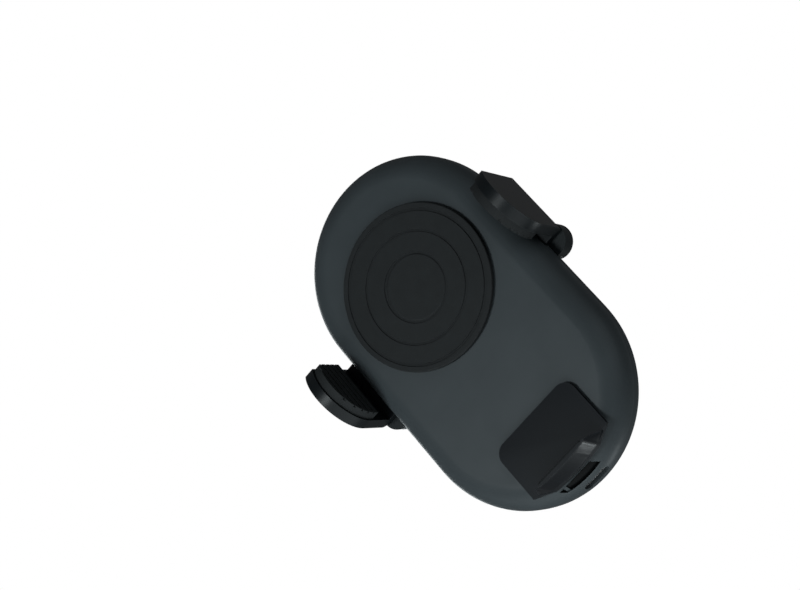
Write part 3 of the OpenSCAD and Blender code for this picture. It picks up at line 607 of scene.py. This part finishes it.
bpy.ops.object.select_all(action="DESELECT")
bpy.ops.mesh.primitive_cylinder_add(vertices=MAT_SIDES, radius=MAT_R * MM,
                                    depth=(MAT_BACK_Y - MAT_FRONT_Y) * MM,
                                    location=(0, (MAT_BACK_Y + MAT_FRONT_Y) / 2 * MM, 0),
                                    rotation=(math.pi / 2, 0, 0))
mat = bpy.context.object
mat.name = "charging_mat"
bpy.ops.object.transform_apply(location=True, rotation=True, scale=True)
pick(mat, lambda middle, normal: normal.y < -0.9)
for band, groove, drop in RINGS:
    for inward, down in ((band, 0), (RING_WALL, drop), (groove, 0), (RING_WALL, -drop)):
        bpy.ops.mesh.inset(thickness=inward * MM, depth=-down * MM)
bpy.ops.object.mode_set(mode="OBJECT")
bevel(mat, MAT_EDGE, 3, lambda middle: math.hypot(middle.x, middle.z) > (MAT_R - AT_RIM) * MM)
smoothed(mat)
dress(mat, "head", "pad_rubber", rubber, "charging_pad")


# Cover screws: four zinc plated, cross head screws for plastics. They are driven from the back,
# where their heads lie sunk in round wells.
give("cover_screws", zinc)


# Foot: a smooth glass filled nylon ledge on its base plate, held to the slide inside the shell
# by two screws. It thins out forwards and its corners are round.
FOOT_BACK_Y, FOOT_EDGE = -63.2 * MM, 0.35 * MM
PLATE_FADE, TIP_FADE = (-65.4 * MM, -64.9 * MM), (-72.0 * MM, -72.4 * MM)


def plate_and_tip(finish):
    """1 on the foot's base plate and at the tip of its ledge."""
    depth = finish.axis("Y")
    return finish.ramp(depth, *PLATE_FADE) + finish.ramp(depth, *TIP_FADE)


foot_satin = satin_plastic("foot satin", (0.0036, 0.0046, 0.0060), sheen=0.27,
                           matt_zone=plate_and_tip)
foot = copied("foot_ledge", "foot_bracket")
bevel(foot, FOOT_EDGE, 3, lambda middle: middle.y < FOOT_BACK_Y)
smoothed(foot, angle=30, level=False)
dress(foot, "foot", "jaw_plastic", foot_satin, "foot_bracket")
give("foot_slide", nylon)
give("foot_screws", zinc)


# Foot pad: a thin tread of the same silicone, glued in the ledge's recess. Seven moulded grooves
# run across it, so that what stands on it doesn't slide.
GROOVES, GROOVE_W, GROOVE_DEPTH = 7, 0.5 * MM, 0.25 * MM
ACROSS, BACK, UP = Vector((1, 0, 0)), Vector((0, 1, 0)), Vector((0, 0, 1))


def push_strips(piece, along, middles, width, side, height):
    """Pushes strips of that side of a piece out, or in where the height is below zero. They are
    square to the axis along which their middles lie."""
    edit(piece)
    for middle in middles:
        for edge in (middle - width / 2, middle + width / 2):
            bpy.ops.mesh.select_all(action="SELECT")
            bpy.ops.mesh.bisect(plane_co=edge * along, plane_no=along)
    bpy.ops.object.mode_set(mode="OBJECT")
    pick(piece, lambda spot, normal: normal.dot(side) > 0.9 and
         any(abs(spot.dot(along) - middle) < width / 2 for middle in middles))
    bpy.ops.mesh.extrude_region_move(TRANSFORM_OT_translate={"value": height * side})
    bpy.ops.object.mode_set(mode="OBJECT")


low, high = (Vector(corner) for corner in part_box("foot_pad"))
tread = rough_block("foot_tread", (low + high) / 2, high - low)
bevel(tread, PAD_EDGE, 2)
step = (high.x - low.x) / (GROOVES + 1)
middles = [low.x + step * (i + 1) for i in range(GROOVES)]
push_strips(tread, ACROSS, middles, GROOVE_W, UP, -GROOVE_DEPTH)
smoothed(tread)
dress(tread, "foot", "pad_rubber", rubber, "foot_pad")


# Ball joint: a split nylon liner grips the ball, and a collar nut with twelve finger grooves
# screws on the head's spigot and clamps it. The ball and its stem are one dark moulding.
NUT_EDGE, LINER_EDGE = 0.35 * MM, 0.15 * MM
nut = rounded("grip_nut", "collar_nut", NUT_EDGE, 2)
dress(nut, "nut", "jaw_plastic", jaw_satin, "collar_nut")
liner = rounded("ball_liner", "socket_liner", LINER_EDGE, 1)
dress(liner, "liner", "inner_plastic", nylon, "socket_liner")
ball = smoothed(copied("ball_and_stem", "ball_stud"))
dress(ball, "clip", "inner_plastic", nylon, "ball_stud")


# Vent clip: a block with two lower prongs, and a lever with two upper ones that a spring keeps
# shut. Both are moulded in the rear cover's plastic, the lever with three ribs where a finger
# presses it, and the hinge pin is ground steel.
BLOCK_EDGE, LEVER_EDGE = 0.5 * MM, 0.35 * MM
RIBS, FIRST_RIB, RIB_PITCH, RIB_W, RIB_H = 3, 1.3, 1.4, 0.6 * MM, 0.35 * MM
CLIP_SPRING_R, CLIP_SPRING_WIRE, CLIP_SPRING_TURNS = 2.08 * MM, 0.76 * MM, 3.5
block = rounded("clip_block", "clip_body", BLOCK_EDGE, 3)
dress(block, "clip", "rear_plastic", rear_plastic, "clip_body")
lever = copied("thumb_lever", "clip_lever")
bevel(lever, LEVER_EDGE, 2)
lever_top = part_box("clip_lever")[1][2]
heights = [lever_top - (FIRST_RIB + RIB_PITCH * i) * MM for i in range(RIBS)]
push_strips(lever, UP, heights, RIB_W, BACK, RIB_H)
smoothed(lever)
dress(lever, "lever", "rear_plastic", rear_plastic, "clip_lever")
pin_steel = metal("ground pin", (0.60, 0.60, 0.61), roughness=0.24, streak=0.2 * MM,
                  stretch=(0.1, 1, 1))
give("clip_pin", pin_steel)
twist = wound("lever_spring", "clip_spring", CLIP_SPRING_R, CLIP_SPRING_WIRE, CLIP_SPRING_TURNS)
dress(twist, "clip", "spring_steel", spring_steel, "clip_spring")
vane_rubber = silicone("vane rubber", (0.0105, 0.0115, 0.0120), groove=("Y", 1.2 * MM))
for name, node, body in (("lower_vane_pads", "lower_prong_pads", "clip"),
                         ("upper_vane_pads", "upper_prong_pads", "lever")):
    pads = rounded(name, node, PAD_EDGE, 2)
    dress(pads, body, "pad_rubber", vane_rubber, node)


# Studio: a plain pale paper floor far below, five soft lamps in a soft white room, and a camera
# at the photograph's viewing angle.
LAMP_COLOUR, LAMP_AIM = (0.90, 0.98, 1.0), Vector((0, -0.055, -0.017))
FLOOR_SIZE, FLOOR_Z = 8, -0.8
REFLECTED, PAPER_GLOW, SOFT_LIGHT = 0.07, 0.7, 0.08


def lamp(name, place, width, power):
    """A square soft lamp that looks at the head's middle."""
    light = bpy.data.lights.new(name, "AREA")
    light.size = width
    light.energy = power
    light.color = LAMP_COLOUR
    stand = bpy.data.objects.new(name, light)
    stand.location = place
    stand.rotation_euler = (LAMP_AIM - Vector(place)).to_track_quat("-Z", "Y").to_euler()
    bpy.context.scene.collection.objects.link(stand)


lamp("key", (-0.34, -0.30, -0.52), width=0.9, power=5.7)
lamp("front", (-0.20, -0.60, -0.01), width=0.12, power=2.0)
lamp("under", (-0.03, 0.26, -0.47), width=0.10, power=0.55)
lamp("fill", (0.50, -0.25, -0.10), width=0.5, power=0.8)
lamp("rear", (-0.35, 0.50, 0.25), width=0.5, power=3.2)

bpy.ops.object.select_all(action="DESELECT")
bpy.ops.mesh.primitive_plane_add(size=FLOOR_SIZE, location=(0, 0, FLOOR_Z))
floor = bpy.context.object
floor.name = "floor"
paper = Finish("paper", Roughness=0.9)
grain = paper.noise(size=40 * MM, detail=3.0)
paper.feed(Base_Color=paper.tint(grain, (0.80, 0.80, 0.80), (0.84, 0.84, 0.84)))


def seen_by(nodes):
    """1 for the camera and through clear pieces, and a little for reflections."""
    camera_ray, glossy_ray, clear_ray = (
        nodes.add("ShaderNodeLightPath", {}, {}, way)
        for way in ("Is Camera Ray", "Is Glossy Ray", "Is Transmission Ray"))
    return camera_ray + REFLECTED * glossy_ray + clear_ray


glow = paper.add("ShaderNodeEmission", {}, {"Color": (1, 1, 1, 1), "Strength": 1.0})
matt = Socket(paper.tree, paper.shader.outputs[0])
plug(paper.tree, paper.tree.nodes["Material Output"].inputs["Surface"],
     paper.add("ShaderNodeMixShader", {}, {0: seen_by(paper) * PAPER_GLOW, 1: matt, 2: glow}))
floor.data.materials.append(paper.material)

world = bpy.data.worlds.new("studio")
bpy.context.scene.world = world
world.use_nodes = True
room = Nodes(world.node_tree)
soft = room.add("ShaderNodeBackground", {},
                {"Color": (0.92, 0.96, 1.0, 1), "Strength": SOFT_LIGHT})
bright = room.add("ShaderNodeBackground", {}, {"Color": (1, 1, 1, 1), "Strength": 1.0})
plug(room.tree, room.tree.nodes["World Output"].inputs["Surface"],
     room.add("ShaderNodeMixShader", {}, {0: seen_by(room), 1: soft, 2: bright}))

CAMERA_AT, FOCAL_LENGTH, SENSOR, NEAREST = (0.14868, -0.48138, -0.1861), 73.8, 36, 0.01
VIEW_RIGHT = Vector((0.61786, 0.50172, -0.60542))
VIEW_DOWN = Vector((-0.71862, 0.04781, -0.69376))
VIEW_IN = Vector((-0.31912, 0.86371, 0.39008))
lens = bpy.data.cameras.new("camera")
lens.lens = FOCAL_LENGTH
lens.sensor_width = SENSOR
lens.clip_start = NEAREST
camera = bpy.data.objects.new("camera", lens)
turn = Matrix((VIEW_RIGHT, -VIEW_DOWN, -VIEW_IN)).transposed().to_4x4()
camera.matrix_world = Matrix.Translation(CAMERA_AT) @ turn
bpy.context.scene.collection.objects.link(camera)
bpy.context.scene.camera = camera
bpy.context.scene.view_settings.view_transform = "Standard"
